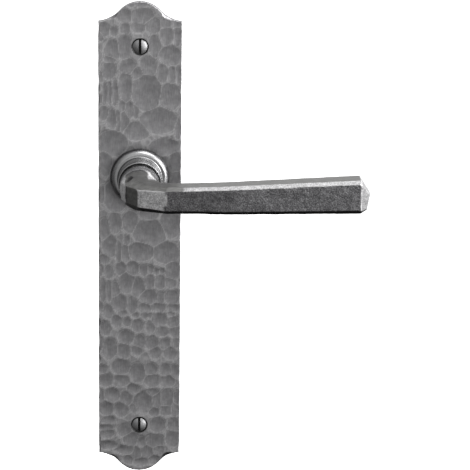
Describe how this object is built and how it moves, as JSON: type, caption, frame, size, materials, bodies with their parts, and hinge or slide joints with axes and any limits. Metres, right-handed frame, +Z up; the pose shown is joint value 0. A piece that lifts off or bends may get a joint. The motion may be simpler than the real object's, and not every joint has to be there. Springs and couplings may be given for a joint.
{
  "type": "door lever handle",
  "caption": "Hand-hammered lever door handle on a long backplate with ogee ends: forged lever on a turned collar, return spring, square spindle and slotted fixing screws.",
  "frame": {"origin": "on the spindle's axis, at the face of the door that the backplate lies on", "axes": "+X along the lever at rest, away from the spindle; +Y into the door along the spindle; +Z up along the backplate"},
  "size_m": [0.135, 0.1299, 0.248],
  "materials": {
    "hammered_plate": "hand-hammered steel, natural grey, waxed",
    "forged_steel": "hand-forged and hammered steel, natural grey, waxed",
    "turned_steel": "turned and polished steel",
    "screw_steel": "slotted screws with a natural steel finish",
    "bronze": "plain sintered bronze",
    "plated_steel": "bright zinc plate",
    "bar_steel": "bright drawn bar",
    "spring_steel": "oiled music wire",
    "black_steel": "black oxide",
    "black_fibre": "black vulcanised fibre"
  },
  "bodies": {
    "root": {"backplate": "hammered_plate", "collar": "turned_steel", "front_bush": "bronze", "rear_cover": "plated_steel", "rear_bush": "bronze", "cover_screws": "plated_steel", "stop_pins": "bar_steel", "return_spring": "spring_steel", "upper_fixing_screw": "screw_steel", "lower_fixing_screw": "screw_steel"},
    "lever": {"lever_arm": "forged_steel", "hub": "turned_steel", "neck_pin": "bar_steel", "drive_ring": "plated_steel", "neck_washer": "black_fibre", "thrust_washer": "plated_steel", "wave_washer": "spring_steel", "circlip": "black_steel", "grub_screw": "black_steel", "spindle": "bar_steel"}
  },
  "joints": [
    {"name": "lever_turn", "type": "hinge", "parent": "root", "child": "lever", "pos_m": [0, 0, 0], "axis": [0, 1, 0], "range_deg": [0, 50], "stiffness_Nm_per_rad": 0.45, "springref_deg": -51.57, "deforming": ["return_spring"]}
  ]
}
